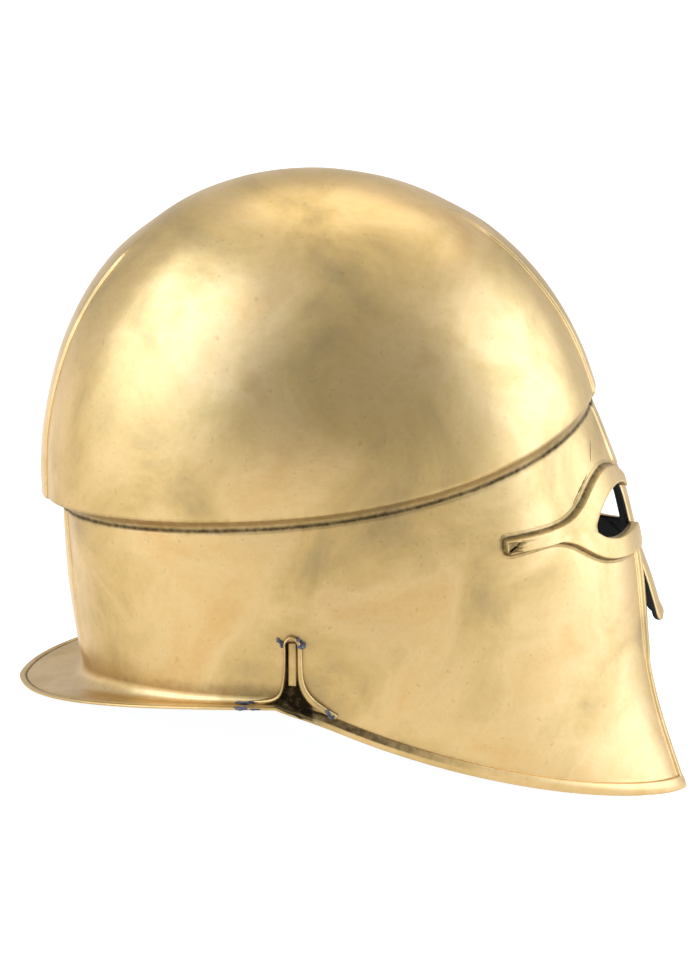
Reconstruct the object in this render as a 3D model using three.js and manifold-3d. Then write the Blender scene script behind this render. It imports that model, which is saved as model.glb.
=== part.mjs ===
// Corinthian helmet of hammered and brazed brass, resting on a flat surface.
// Millimetres, +Z up, face towards +X. The helmet is shaped in the pose in which it is worn
// and is then pitched back until it rests on its cheek pieces and the rim of its neck guard.
import * as THREE from 'three';
import { ParametricGeometry } from 'three/addons/geometries/ParametricGeometry.js';
import { mergeVertices } from 'three/addons/utils/BufferGeometryUtils.js';
import Module from 'manifold-3d';

const wasm = await Module();
wasm.setup();

// ---- driving dimensions -------------------------------------------------------------------
const SHEET = 1.2;            // wall of the brass sheet
const POLE_X = -8;            // vertical axis through the crown
const CROWN_Z = 156;          // top of the skull
const EQUATOR_Z = 5;          // height at which the skull is widest
const SKULL_FRONT = 145;      // reach of the skull ahead of the axis
const SKULL_BACK = 134.6;     // reach behind the axis
const SKULL_HALF_WIDTH = 100;
const TEMPLE_FULLNESS = 0.14; // how much fuller than an ellipse the plan is
const STEP_DROP = 5;          // drop from the skull's edge to the top of the face wall
const BAND_HALF_WIDTH = 20;   // raised band along the middle of the skull
const BAND_HEIGHT = 1.2;
const GUARD_START = 87;       // the cheek's rim turns into the guard between these bearings
const GUARD_FULL = 99;
const FOOT_TRIM = 0.5;        // wear flats where the rims rest

// Bearings are the plan's own angle, in degrees: 0 is straight ahead, 90 is abreast of the
// crown's axis and 180 is the nape.

// Level sections of the face and neck wall: where the wall crosses the middle plane in front
// and behind, and its half width.
const WALL_SECTIONS = [
  { z: -165, front: 185.5, back: -111, halfWidth: 87 },
  { z: -135, front: 174.5, back: -117, halfWidth: 92 },
  { z: -112, front: 166.5, back: -121, halfWidth: 95 },
  { z: -90, front: 161.5, back: -124.5, halfWidth: 96.5 },
  { z: -65, front: 158.5, back: -128.3, halfWidth: 97 },
  { z: -40, front: 155.3, back: -130.8, halfWidth: 96.5 },
  { z: -20, front: 151.6, back: -132, halfWidth: 96 },
  { z: 0, front: 146.4, back: -132.6, halfWidth: 95.3 },
  { z: 18, front: 139.5, back: -133, halfWidth: 94.5 },
  { z: 38, front: 131, back: -133, halfWidth: 93.5 },
  { z: 55, front: 122.5, back: -133, halfWidth: 92 },
];

// Reach of the neck guard beyond the wall, and the height of its underside.
const NECK_GUARD = [
  { bearing: 90, reach: 10, z: -90 },
  { bearing: 105, reach: 10, z: -90.5 },
  { bearing: 120, reach: 13, z: -92 },
  { bearing: 135, reach: 19, z: -94.2 },
  { bearing: 150, reach: 26, z: -96.6 },
  { bearing: 165, reach: 31, z: -98.6 },
  { bearing: 180, reach: 33.5, z: -99.3 },
];

// Profile of the lower rim: share of the guard's reach and height above its underside, then
// the same for the cheek piece, whose rim is a raised border.
const RIM_PROFILE = [
  { guardShare: 0, guardUp: 8.5, cheekOut: 0, cheekUp: 7.5 },
  { guardShare: 0.09, guardUp: 4.8, cheekOut: 1.5, cheekUp: 6.6 },
  { guardShare: 0.3, guardUp: 2.2, cheekOut: 1.6, cheekUp: 4 },
  { guardShare: 0.65, guardUp: 1.6, cheekOut: 1.6, cheekUp: 2 },
  { guardShare: 1, guardUp: 1.4, cheekOut: 1.6, cheekUp: 0 },
];

// Eye opening, from the nose outwards along the top and back along the bottom.
const EYE_OPENING = [
  { bearing: 6, z: -1 }, { bearing: 11, z: 2.6 }, { bearing: 17, z: 3.4 },
  { bearing: 22.4, z: 1.2 }, { bearing: 28.3, z: -6.2 }, { bearing: 30.6, z: -11.5 },
  { bearing: 30.7, z: -15.7 }, { bearing: 27.3, z: -20.2 }, { bearing: 21.1, z: -21.9 },
  { bearing: 12, z: -20.6 }, { bearing: 6, z: -19.6 },
];
// Middle line and half width of the raised surround, and of the tail behind it.
const SURROUND = [
  { bearing: 6, z: -27.6, halfWidth: 6.2 }, { bearing: 14, z: -28, halfWidth: 6.5 },
  { bearing: 22, z: -28.3, halfWidth: 6.4 }, { bearing: 29, z: -25.5, halfWidth: 6.2 },
  { bearing: 33, z: -20, halfWidth: 5.6 }, { bearing: 34, z: -13.5, halfWidth: 5.5 },
  { bearing: 32, z: -5.5, halfWidth: 5.5 }, { bearing: 25, z: 4.2, halfWidth: 5.6 },
  { bearing: 17, z: 8, halfWidth: 4.8 }, { bearing: 10, z: 7, halfWidth: 4.6 },
  { bearing: 5.5, z: 3.5, halfWidth: 4.6 },
];
const TAIL = [
  { bearing: 32, z: -13, halfWidth: 9 }, { bearing: 36.5, z: -14.2, halfWidth: 8.2 },
  { bearing: 39.3, z: -15, halfWidth: 6.2 }, { bearing: 42.5, z: -15.5, halfWidth: 4.7 },
  { bearing: 46.3, z: -16.2, halfWidth: 4 }, { bearing: 51, z: -17.3, halfWidth: 4 },
  { bearing: 54.6, z: -17.8, halfWidth: 4.1 },
];
const SURROUND_HEIGHT = 3.2;
const SURROUND_SLOPE = 1.6;   // how far each side wall leans in
const FACE_MM_PER_DEGREE = 1.95;
const FACE_SLOT = { halfWidth: 15, top: -4, bottom: -175 };
const CHEEK_BORDER = { top: -32, bottom: -158, step: 14, halfWidth: 1.7, height: 1.5, slope: 0.5 };

// Brazed lips beside the notch: an arch over a slot, with feet that flare onto the rims.
const NOTCH = {
  bearing: 95.5, mmPerDegree: 2.48, topZ: -55.5,
  halfSpan: 4, halfWidth: 1.4, height: 4, slope: 0.3, foot: 7,
};

// Nose guard: where its middle line runs, and its half width.
const NASAL_SECTIONS = [
  { z: 12, x: 142.2, halfWidth: 15 },
  { z: 4, x: 146, halfWidth: 13 },
  { z: -15, x: 151.9, halfWidth: 11.6 },
  { z: -32, x: 156.4, halfWidth: 11.8 },
  { z: -48, x: 162.3, halfWidth: 12.2 },
  { z: -71.5, x: 169.4, halfWidth: 12.2 },
];
const NASAL = { thickness: 2.6, rows: 10, across: 4, tipRounding: 5, crown: 55 };

const SKULL_ROWS = 11;
const WALL_ROWS = 8;
const COLUMN_STEP = 6;        // degrees between the shell's columns

// ---- tables and outlines --------------------------------------------------------------------
const radians = THREE.MathUtils.degToRad;
const { cos, sin, abs, sign, min, max, sqrt, PI } = Math;
const smoothstep = THREE.MathUtils.smoothstep;

// A natural cubic spline through one column of a table: no bend at its two ends.
function curveThrough(rows, key, value) {
  const table = [...rows].sort((a, b) => a[key] - b[key]);
  const x = table.map((row) => row[key]);
  const y = table.map((row) => row[value]);
  const last = x.length - 1;
  const bend = new Array(last + 1).fill(0);
  const carry = new Array(last + 1).fill(0);
  for (let i = 1; i < last; i++) {
    const before = x[i] - x[i - 1];
    const after = x[i + 1] - x[i];
    const pull = 6 * ((y[i + 1] - y[i]) / after - (y[i] - y[i - 1]) / before);
    const pivot = 2 * (before + after) - before * carry[i - 1];
    carry[i] = after / pivot;
    bend[i] = (pull - before * bend[i - 1]) / pivot;
  }
  for (let i = last - 1; i > 0; i--) bend[i] -= carry[i] * bend[i + 1];
  return (at) => {
    let i = 0;
    while (i < last - 1 && at > x[i + 1]) i++;
    const span = x[i + 1] - x[i];
    const t = at - x[i];
    const slope = (y[i + 1] - y[i]) / span - (span * (2 * bend[i] + bend[i + 1])) / 6;
    return y[i] + t * (slope + t * (bend[i] / 2 + (t * (bend[i + 1] - bend[i])) / (6 * span)));
  };
}

const wallFront = curveThrough(WALL_SECTIONS, 'z', 'front');
const wallBack = curveThrough(WALL_SECTIONS, 'z', 'back');
const wallHalfWidth = curveThrough(WALL_SECTIONS, 'z', 'halfWidth');
const guardReach = curveThrough(NECK_GUARD, 'bearing', 'reach');
const guardZ = curveThrough(NECK_GUARD, 'bearing', 'z');
const nasalX = curveThrough(NASAL_SECTIONS, 'z', 'x');
const nasalHalfWidth = curveThrough(NASAL_SECTIONS, 'z', 'halfWidth');

// ---- surfaces ---------------------------------------------------------------------------------
// An egg-shaped plan: X for the cosine of a bearing, from where it crosses the middle plane.
const planX = (c, front, back) =>
  POLE_X + ((front - back) / 2) * c + ((front + back) / 2 - POLE_X) * c * c;

// Height of the skull's lower edge, which climbs from the nape to the brow.
function skullEdgeZ(x) {
  const u = x / 100;
  return 5.3 + u * (12.7 + u * (9.6 + u * 3.2));
}
const skullEdgeX = (c) => planX(c, POLE_X + SKULL_FRONT, POLE_X - SKULL_BACK);

// Skull: a superellipse arc from the crown (t = 0) to the lower edge (t = 1) at each bearing,
// with the raised band along the middle.
function skullPoint(bearing, t) {
  const c = cos(bearing);
  const s = sin(bearing);
  const power = 2 * s * s + (2.065 - 0.035 * c) * c * c;
  const height = CROWN_Z - EQUATOR_Z;
  const drop = (skullEdgeZ(skullEdgeX(c)) - EQUATOR_Z) / height;
  const turn = Math.acos(sign(drop) * abs(drop) ** (power / 2)) * t;
  const outShare = abs(sin(turn)) ** (2 / power);
  const upShare = sign(cos(turn)) * abs(cos(turn)) ** (2 / power);
  const x = ((SKULL_FRONT + SKULL_BACK) / 2) * c * outShare
    + ((SKULL_FRONT - SKULL_BACK) / 2) * (c * outShare) ** 2;
  const y = SKULL_HALF_WIDTH * s * (1 + TEMPLE_FULLNESS * c * c) * outShare;
  const band = BAND_HEIGHT * smoothstep(t, 0.45, 0.75)
    * (1 - smoothstep(abs(y), BAND_HALF_WIDTH - 0.8, BAND_HALF_WIDTH + 0.8));
  const lift = 1 + band / height;
  return new THREE.Vector3(POLE_X + x * lift, y, EQUATOR_Z + height * upShare * lift);
}

// Face and neck wall at a bearing and height. Lower down the plan slims, more towards the chin
// than towards the nape.
function wallPoint(bearing, z) {
  const c = cos(bearing);
  const chin = ((c + 1) / 2) * THREE.MathUtils.clamp((40 - z) / 120, 0, 1);
  const nape = ((1 - c) / 2) * THREE.MathUtils.clamp((-20 - z) / 75, 0, 1);
  const fullness = TEMPLE_FULLNESS - 0.16 * chin - 0.24 * nape;
  return new THREE.Vector3(
    planX(c, wallFront(z), wallBack(z)),
    wallHalfWidth(z) * sin(bearing) * (1 + fullness * c * c),
    z,
  );
}

// Level direction square to the wall, pointing out.
function wallOut(bearing, z) {
  const step = 0.01;
  const along = wallPoint(bearing + step, z).sub(wallPoint(bearing - step, z));
  return new THREE.Vector3(along.y, -along.x, 0).normalize();
}

const wallTopZ = (bearing) => skullEdgeZ(skullEdgeX(cos(bearing))) - STEP_DROP;

const degreesOf = (bearing) =>
  abs(THREE.MathUtils.radToDeg(Math.atan2(sin(bearing), cos(bearing))));

// Lower edge: a shallow parabola along the cheek piece, and the guard's underside behind it.
function lowerEdgeZ(bearing) {
  const guard = guardZ(max(degreesOf(bearing), 90));
  let z = guard;
  for (let pass = 0; pass < 6; pass++) {
    const { x } = wallPoint(bearing, z);
    z = min(guard, -104.3 - 0.455 * x + 0.00088 * x * x);
  }
  return z;
}

// ---- solids -----------------------------------------------------------------------------------
// Merges a geometry's vertices, drops its empty triangles and returns it as a solid with its
// faces out, also where the surface was mirrored.
function solidOf(geometry) {
  const bare = geometry.clone();
  bare.deleteAttribute('normal');
  bare.deleteAttribute('uv');
  const merged = mergeVertices(bare, 1e-3);
  const corners = [];
  for (let i = 0; i < merged.index.count; i += 3) {
    const [a, b, c] = [0, 1, 2].map((k) => merged.index.getX(i + k));
    if (a !== b && b !== c && c !== a) corners.push(a, b, c);
  }
  const wrap = (triangles) => new wasm.Manifold(new wasm.Mesh({
    numProp: 3,
    vertProperties: new Float32Array(merged.attributes.position.array),
    triVerts: new Uint32Array(triangles),
  }));
  const solid = wrap(corners);
  return solid.volume() > 0 ? solid : wrap(corners.reverse());
}

// The brass shell: one closed sheet, from the crown down its outside, round the rim and back
// up its inside.
function shellSolid() {
  const columns = 360 / COLUMN_STEP;
  const outer = [];
  for (let i = 0; i <= SKULL_ROWS; i++) {
    outer.push((bearing) => skullPoint(bearing, sin((i / SKULL_ROWS) * PI / 2) ** 0.9));
  }
  for (let i = 0; i <= WALL_ROWS; i++) {
    outer.push((bearing) => wallPoint(bearing, THREE.MathUtils.lerp(
      wallTopZ(bearing), rimTopZ(bearing), i / WALL_ROWS)));
  }
  for (const row of RIM_PROFILE.slice(1)) outer.push((bearing) => rimPoint(bearing, row));
  const rows = outer.length;

  const inner = (bearing, row) => {
    const tilt = 0.01;
    const at = outer[row](bearing);
    if (row === 0) return at.add(new THREE.Vector3(0, 0, -SHEET));
    const around = outer[row](bearing + tilt).sub(outer[row](bearing - tilt)).normalize();
    const up = outer[row - 1](bearing).sub(at).normalize();
    const down = at.clone().sub(outer[min(row + 1, rows - 1)](bearing)).normalize();
    const out = around.cross(up.add(down)).normalize();
    return at.addScaledVector(out, -SHEET);
  };
  const sheet = (u, v, target) => {
    const bearing = -u * 2 * PI;
    const step = Math.round(v * (2 * rows - 1));
    target.copy(step < rows ? outer[step](bearing) : inner(bearing, 2 * rows - 1 - step));
  };
  return solidOf(new ParametricGeometry(sheet, columns, 2 * rows - 1));
}

// How far a bearing belongs to the neck guard: 1 behind the notch, 0 on the cheek piece.
function guardShare(bearing) {
  return smoothstep(degreesOf(bearing), GUARD_START, GUARD_FULL);
}

function rimTopZ(bearing) {
  const top = RIM_PROFILE[0];
  return lowerEdgeZ(bearing) + THREE.MathUtils.lerp(top.cheekUp, top.guardUp, guardShare(bearing));
}

function rimPoint(bearing, row) {
  const share = guardShare(bearing);
  const reach = guardReach(max(degreesOf(bearing), 90)) * row.guardShare;
  const z = lowerEdgeZ(bearing);
  const out = THREE.MathUtils.lerp(row.cheekOut, reach, share);
  const up = THREE.MathUtils.lerp(row.cheekUp, row.guardUp, share);
  return wallPoint(bearing, z + up).addScaledVector(wallOut(bearing, z + up), out);
}

const onWall = (bearing, z, over) =>
  wallPoint(radians(bearing), z).addScaledVector(wallOut(radians(bearing), z), over);

// A ridge laid on the wall along a path of { bearing, z, halfWidth }: its foot is sunk half a
// sheet, its top stands at a height and its two side walls lean in by the slope.
function ridge(path, { side = 1, closed = false, steps, height, slope, mmPerDegree }) {
  const knots = path.map((p) => new THREE.Vector3(p.bearing * mmPerDegree, p.z, p.halfWidth));
  const curve = new THREE.CatmullRomCurve3(knots, closed, 'centripetal');
  const section = [
    { edge: -1, lean: 0, over: -SHEET / 2 }, { edge: -1, lean: 0, over: 0 },
    { edge: -1, lean: slope, over: height }, { edge: 1, lean: -slope, over: height },
    { edge: 1, lean: 0, over: 0 }, { edge: 1, lean: 0, over: -SHEET / 2 },
    { edge: -1, lean: 0, over: -SHEET / 2 },
  ];
  const capped = closed ? 0 : 2;
  const surface = (u, v, target) => {
    const step = Math.round(u * (steps + capped));
    const t = closed ? (step % steps) / steps : THREE.MathUtils.clamp((step - 1) / steps, 0, 1);
    const at = curve.getPoint(t);
    const along = curve.getTangent(t);
    const length = Math.hypot(along.x, along.y);
    const { edge, lean, over } = section[Math.round(v * (section.length - 1))];
    const isCap = !closed && (step === 0 || step === steps + capped);
    const sideways = isCap ? 0 : edge * at.z + lean;
    const bearing = side * (at.x - (along.y / length) * sideways) / mmPerDegree;
    target.copy(onWall(bearing, at.y + (along.x / length) * sideways, isCap ? height / 2 : over));
  };
  const geometry = new ParametricGeometry(surface, steps + capped, section.length - 1);
  return solidOf(geometry);
}

// The eye opening, cut square through the wall.
function eyeCutter(side) {
  const corners = EYE_OPENING.map((p) =>
    new THREE.Vector2(side * p.bearing * FACE_MM_PER_DEGREE, p.z));
  const outline = new THREE.SplineCurve([...corners, corners[0]]).getPoints(3 * corners.length);
  const shape = new THREE.Shape(outline);
  const geometry = new THREE.ExtrudeGeometry(shape, { depth: 30, bevelEnabled: false });
  const place = geometry.attributes.position;
  for (let i = 0; i < place.count; i++) {
    const point = onWall(place.getX(i) / FACE_MM_PER_DEGREE, place.getY(i), place.getZ(i) - 15);
    place.setXYZ(i, point.x, point.y, point.z);
  }
  return solidOf(geometry);
}

// The gap between the cheek pieces and past the nose guard.
function faceSlot() {
  const { halfWidth, top, bottom } = FACE_SLOT;
  const reach = 180;
  return solidOf(new THREE.BoxGeometry(reach, 2 * halfWidth, top - bottom)
    .translate(60 + reach / 2, 0, (top + bottom) / 2));
}

const eyeSurround = (side) => ridge(SURROUND, {
  side, closed: true, steps: 30, height: SURROUND_HEIGHT, slope: SURROUND_SLOPE,
  mmPerDegree: FACE_MM_PER_DEGREE,
});
const eyeTail = (side) => ridge(TAIL, {
  side, steps: 9, height: SURROUND_HEIGHT, slope: SURROUND_SLOPE, mmPerDegree: FACE_MM_PER_DEGREE,
});

// Raised border along the front edge of a cheek piece.
function cheekBorder(side) {
  const { top, bottom, step, halfWidth, height, slope } = CHEEK_BORDER;
  const path = [];
  for (let z = top; z >= bottom; z -= step) {
    const fullness = TEMPLE_FULLNESS - 0.16 * min(1, (40 - z) / 120);
    const sine = (FACE_SLOT.halfWidth + halfWidth) / (wallHalfWidth(z) * (1 + fullness));
    path.push({ bearing: THREE.MathUtils.radToDeg(Math.asin(sine)), z, halfWidth });
  }
  return ridge(path, {
    side, steps: path.length - 1, height, slope, mmPerDegree: FACE_MM_PER_DEGREE,
  });
}

// The lips beside a notch, from one foot over the arch to the other.
function notchTrim(side) {
  const { bearing, mmPerDegree, topZ, halfSpan, halfWidth, height, slope, foot } = NOTCH;
  const at = (along, z) => ({ bearing: bearing + along / mmPerDegree, z, halfWidth });
  const low = guardZ(90) + 1;
  const leg = [
    at(halfSpan + foot, low),
    at(halfSpan + foot * 0.3, low + foot * 0.45),
    at(halfSpan, low + foot * 1.4),
  ];
  const mirrored = leg.map((p) => ({ ...p, bearing: 2 * bearing - p.bearing })).reverse();
  const shoulder = topZ - halfSpan;
  const arch = [50, 90, 130].map((turn) =>
    at(halfSpan * cos(radians(turn)), shoulder + halfSpan * sin(radians(turn))));
  const path = [...leg, at(halfSpan, shoulder), ...arch, at(-halfSpan, shoulder), ...mirrored];
  return ridge(path, { side, steps: 22, height, slope, mmPerDegree });
}

// Nose guard: a crowned strip that leaves the brow and stands clear of the cheek pieces, with
// a rounded tip.
function noseGuard() {
  const { thickness, rows, across, tipRounding, crown } = NASAL;
  const top = NASAL_SECTIONS[0].z;
  const tip = NASAL_SECTIONS[NASAL_SECTIONS.length - 1].z;
  const loop = 2 * (across + 1);
  const surface = (u, v, target) => {
    const step = Math.round(u * (rows + 2));
    const isCap = step === 0 || step === rows + 2;
    const share = THREE.MathUtils.clamp((step - 1) / rows, 0, 1);
    const z = THREE.MathUtils.lerp(top, tip, sin((share * PI) / 2) ** 0.8);
    const into = THREE.MathUtils.clamp((tip + tipRounding - z) / tipRounding, 0, 1);
    const half = nasalHalfWidth(z) - tipRounding * (1 - sqrt(1 - into * into));
    const k = Math.round(v * loop) % loop;
    const isFront = k <= across;
    const sideShare = isFront ? 1 - (2 * k) / across : (2 * (k - across - 1)) / across - 1;
    const y = isCap ? 0 : half * sideShare;
    const over = isCap ? thickness / 2 : (isFront ? 0 : thickness);
    target.set(nasalX(z) - (y * y) / crown - over, y, z);
  };
  return solidOf(new ParametricGeometry(surface, rows + 2, loop));
}

// ---- the helmet -------------------------------------------------------------------------------
const restHeight = (x, z, pitch) => z * cos(pitch) + x * sin(pitch);

// Lowest points ahead of and behind the crown's axis, once the helmet is pitched nose up.
function lowPoints(corners, pitch) {
  const low = { ahead: Infinity, behind: Infinity };
  for (let i = 0; i < corners.length; i += 3) {
    const end = corners[i] > POLE_X ? 'ahead' : 'behind';
    low[end] = min(low[end], restHeight(corners[i], corners[i + 2], pitch));
  }
  return low;
}

// The pitch at which it rests on its cheek pieces and on the rim of its neck guard, by halving.
function restPitch(corners) {
  let [less, more] = [0, radians(30)];
  for (let pass = 0; pass < 40; pass++) {
    const middle = (less + more) / 2;
    const low = lowPoints(corners, middle);
    if (low.ahead < low.behind) less = middle;
    else more = middle;
  }
  return (less + more) / 2;
}

// Everything below the level at which the rims rest, as a slab in the worn pose.
function floorSlab(level, pitch) {
  const slab = new THREE.BoxGeometry(500, 400, 20).translate(0, 0, level - 10);
  return solidOf(slab.rotateY(pitch));
}

function meshOf(name, solid, material) {
  const { vertProperties, triVerts } = solid.getMesh();
  const geometry = new THREE.BufferGeometry();
  geometry.setAttribute('position', new THREE.BufferAttribute(vertProperties, 3));
  geometry.setIndex(new THREE.BufferAttribute(triVerts, 1));
  const mesh = new THREE.Mesh(geometry, material);
  mesh.name = name;
  return mesh;
}

let shell = shellSolid().subtract(faceSlot());
for (const side of [-1, 1]) {
  for (const trim of [eyeSurround, eyeTail, cheekBorder, notchTrim]) shell = shell.add(trim(side));
}
shell = shell.subtract(faceSlot());
for (const side of [-1, 1]) shell = shell.subtract(eyeCutter(side));
shell = shell.add(noseGuard());

const corners = shell.getMesh().vertProperties;
const pitch = restPitch(corners);
const floor = lowPoints(corners, pitch).ahead + FOOT_TRIM;
shell = shell.subtract(floorSlab(floor, pitch));

const brass = new THREE.MeshStandardMaterial({ color: '#c9a467', metalness: 1, roughness: 0.35 });
const helmet = meshOf('helmet_shell', shell, brass);
helmet.rotation.y = -pitch;

// The origin is under the middle of the resting helmet.
helmet.updateMatrixWorld(true);
const reach = new THREE.Box3().setFromObject(helmet, true);
helmet.position.set(
  -(reach.min.x + reach.max.x) / 2,
  -(reach.min.y + reach.max.y) / 2,
  -floor,
);

const group = new THREE.Group();
group.add(helmet);
export default group;
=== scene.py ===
import bmesh
import bpy
import numpy as np
from mathutils import Matrix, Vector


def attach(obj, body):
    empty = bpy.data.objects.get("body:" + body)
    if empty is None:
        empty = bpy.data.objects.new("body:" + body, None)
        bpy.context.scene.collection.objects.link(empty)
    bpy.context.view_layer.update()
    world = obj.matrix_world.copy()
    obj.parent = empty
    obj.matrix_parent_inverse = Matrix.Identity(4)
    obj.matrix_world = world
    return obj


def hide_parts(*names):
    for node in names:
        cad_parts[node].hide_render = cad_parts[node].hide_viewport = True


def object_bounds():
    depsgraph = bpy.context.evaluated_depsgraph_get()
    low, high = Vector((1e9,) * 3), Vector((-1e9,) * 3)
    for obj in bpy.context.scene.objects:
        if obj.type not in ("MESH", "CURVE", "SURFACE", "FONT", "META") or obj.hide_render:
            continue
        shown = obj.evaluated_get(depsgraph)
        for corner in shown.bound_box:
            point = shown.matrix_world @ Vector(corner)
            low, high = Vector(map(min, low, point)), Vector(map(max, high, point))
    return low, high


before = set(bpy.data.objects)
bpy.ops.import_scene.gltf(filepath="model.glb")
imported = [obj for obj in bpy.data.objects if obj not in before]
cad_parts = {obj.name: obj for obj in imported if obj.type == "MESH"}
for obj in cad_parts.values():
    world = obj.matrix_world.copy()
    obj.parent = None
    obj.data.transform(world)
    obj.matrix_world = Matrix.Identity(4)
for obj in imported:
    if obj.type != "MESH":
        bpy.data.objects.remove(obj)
cad_low, cad_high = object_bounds()
bpy.context.scene.view_settings.view_transform = "Standard"    # no film curve over the colours

# ---- skull ---------------------------------------------------------------------------------
# The skull is hammered up from one sheet of brass and ground smooth. A band along its middle
# stands a sheet's thickness proud, and its lower edge is turned in to a narrow ledge, which is
# brazed to the wall of the face and neck. The inside is painted matt black.
SHEET = 1.2
AXIS_X = -8.0              # the vertical line through the crown
CROWN_Z = 156.0
EQUATOR_Z = 5.0
SKULL_FRONT = 145.0
SKULL_BACK = 134.6
SKULL_HALF_WIDTH = 100.0
TEMPLE_FULLNESS = 0.14     # how much fuller than an ellipse the plan is
BAND_HALF_WIDTH = 20.0
BAND_HEIGHT = 1.25
BAND_EDGE = 0.55           # half the width over which the band steps up
LEDGE_DROP = 5.0           # from the skull's edge to the top of the wall
LEDGE_LIP = 1.3            # height of the skull's plain edge
SKULL_EDGE = (5.3, 12.7, 9.6, 3.2)        # height of the lower edge, by powers of X in 100 mm
BACK_POWER, FRONT_POWER = 2.1, 2.03       # of the superellipses down the back and the front
REST_PITCH = 0.174339      # radians, nose up, from worn to resting
REST_SHIFT = (-29.874, 0.0, 124.283)
SKULL_ROWS, EDGE_ROWS = 96, 20            # from the crown down, and those close to the edge


def smoothstep(x, low, high):
    """0 below low, 1 above high, and three t squared less two t cubed between them."""
    t = np.clip((x - low) / (high - low), 0.0, 1.0)
    return t * t * (3.0 - 2.0 * t)


def plan_x(cosine, front, back):
    """X on an egg-shaped plan: half the length times the cosine, plus the egg's shift times
    the cosine squared."""
    return AXIS_X + (front - back) / 2 * cosine + ((front + back) / 2 - AXIS_X) * cosine ** 2


def skull_edge_z(angle):
    """Height of the skull's lower edge: a cubic in X that climbs from the nape to the brow."""
    u = plan_x(np.cos(angle), AXIS_X + SKULL_FRONT, AXIS_X - SKULL_BACK) / 100.0
    return np.polynomial.polynomial.polyval(u, SKULL_EDGE)


def skull_at(angle, share):
    """The skull without its band: at each angle a superellipse arc from the crown (share 0) to
    the lower edge (share 1). Its power is 2 at the sides and a little more in front and behind."""
    c, s = np.cos(angle), np.sin(angle)
    along = (FRONT_POWER + BACK_POWER) / 2 + (FRONT_POWER - BACK_POWER) / 2 * c
    power = 2 * s ** 2 + along * c ** 2
    height = CROWN_Z - EQUATOR_Z
    drop = (skull_edge_z(angle) - EQUATOR_Z) / height
    turn = np.arccos(np.sign(drop) * np.abs(drop) ** (power / 2)) * share
    out = np.abs(np.sin(turn)) ** (2 / power)
    up = np.sign(np.cos(turn)) * np.abs(np.cos(turn)) ** (2 / power)
    x = (SKULL_FRONT + SKULL_BACK) / 2 * c * out + (SKULL_FRONT - SKULL_BACK) / 2 * (c * out) ** 2
    y = SKULL_HALF_WIDTH * s * (1 + TEMPLE_FULLNESS * c ** 2) * out
    return np.stack([AXIS_X + x, y, EQUATOR_Z + height * up], -1)


def spaced(stops, counts):
    """Points between each two stops, evenly spaced, with the given count in each gap. The
    stops may be arrays: the points then run along a new last axis."""
    parts = [low[..., None] + (high - low)[..., None] * np.arange(count) / count
             for low, high, count in zip(stops[:-1], stops[1:], counts)]
    return np.concatenate(parts + [stops[-1][..., None]], -1)


def normals(grid, wrap):
    """Unit normals of a grid of points: the cross product of its two central differences.
    wrap joins the last column to the first."""
    down = np.gradient(grid, axis=0)
    if wrap:
        across = np.roll(grid, -1, 1) - np.roll(grid, 1, 1)
    else:
        across = np.gradient(grid, axis=1)
    normal = np.cross(down, across)
    length = np.linalg.norm(normal, axis=-1, keepdims=True)
    return normal / np.maximum(length, 1e-9)


def rounded(before, corner, after, radius, count):
    """A corner rounded by a parabola that leaves each side at the radius from the corner."""
    def unit(v):
        return v / np.maximum(np.linalg.norm(v, axis=-1, keepdims=True), 1e-9)
    start = corner + unit(before - corner) * radius
    end = corner + unit(after - corner) * radius
    t = np.linspace(0, 1, count)[:, None, None]
    return (1 - t) ** 2 * start + 2 * t * (1 - t) * corner + t ** 2 * end


HAMMER_DEPTH = 0.05        # of each cosine
HAMMER = np.random.default_rng(7)
WAVES = HAMMER.normal(size=(10, 3))
WAVES *= (2 * np.pi / HAMMER.uniform(24, 70, 10) / np.linalg.norm(WAVES, axis=1))[:, None]
WAVE_STARTS = HAMMER.uniform(0, 2 * np.pi, 10)


def hammered(grid, normal):
    """Moves a surface in and out along its normals by a sum of cosines in random directions,
    24 to 70 mm long: the low waves that a planishing hammer leaves."""
    wave = np.cos(np.einsum("...k,wk->...w", grid, WAVES) + WAVE_STARTS).sum(-1)
    return grid + normal * (wave * HAMMER_DEPTH)[..., None]


def to_rest(points):
    """Worn pose in millimetres to resting pose in metres: pitched nose up about Y, with the
    middle of its length over the origin and its lowest point at Z 0."""
    c, s = np.cos(REST_PITCH), np.sin(REST_PITCH)
    x, y, z = points[..., 0], points[..., 1], points[..., 2]
    return (np.stack([x * c - z * s, y, x * s + z * c], -1) + REST_SHIFT) / 1000.0


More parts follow.
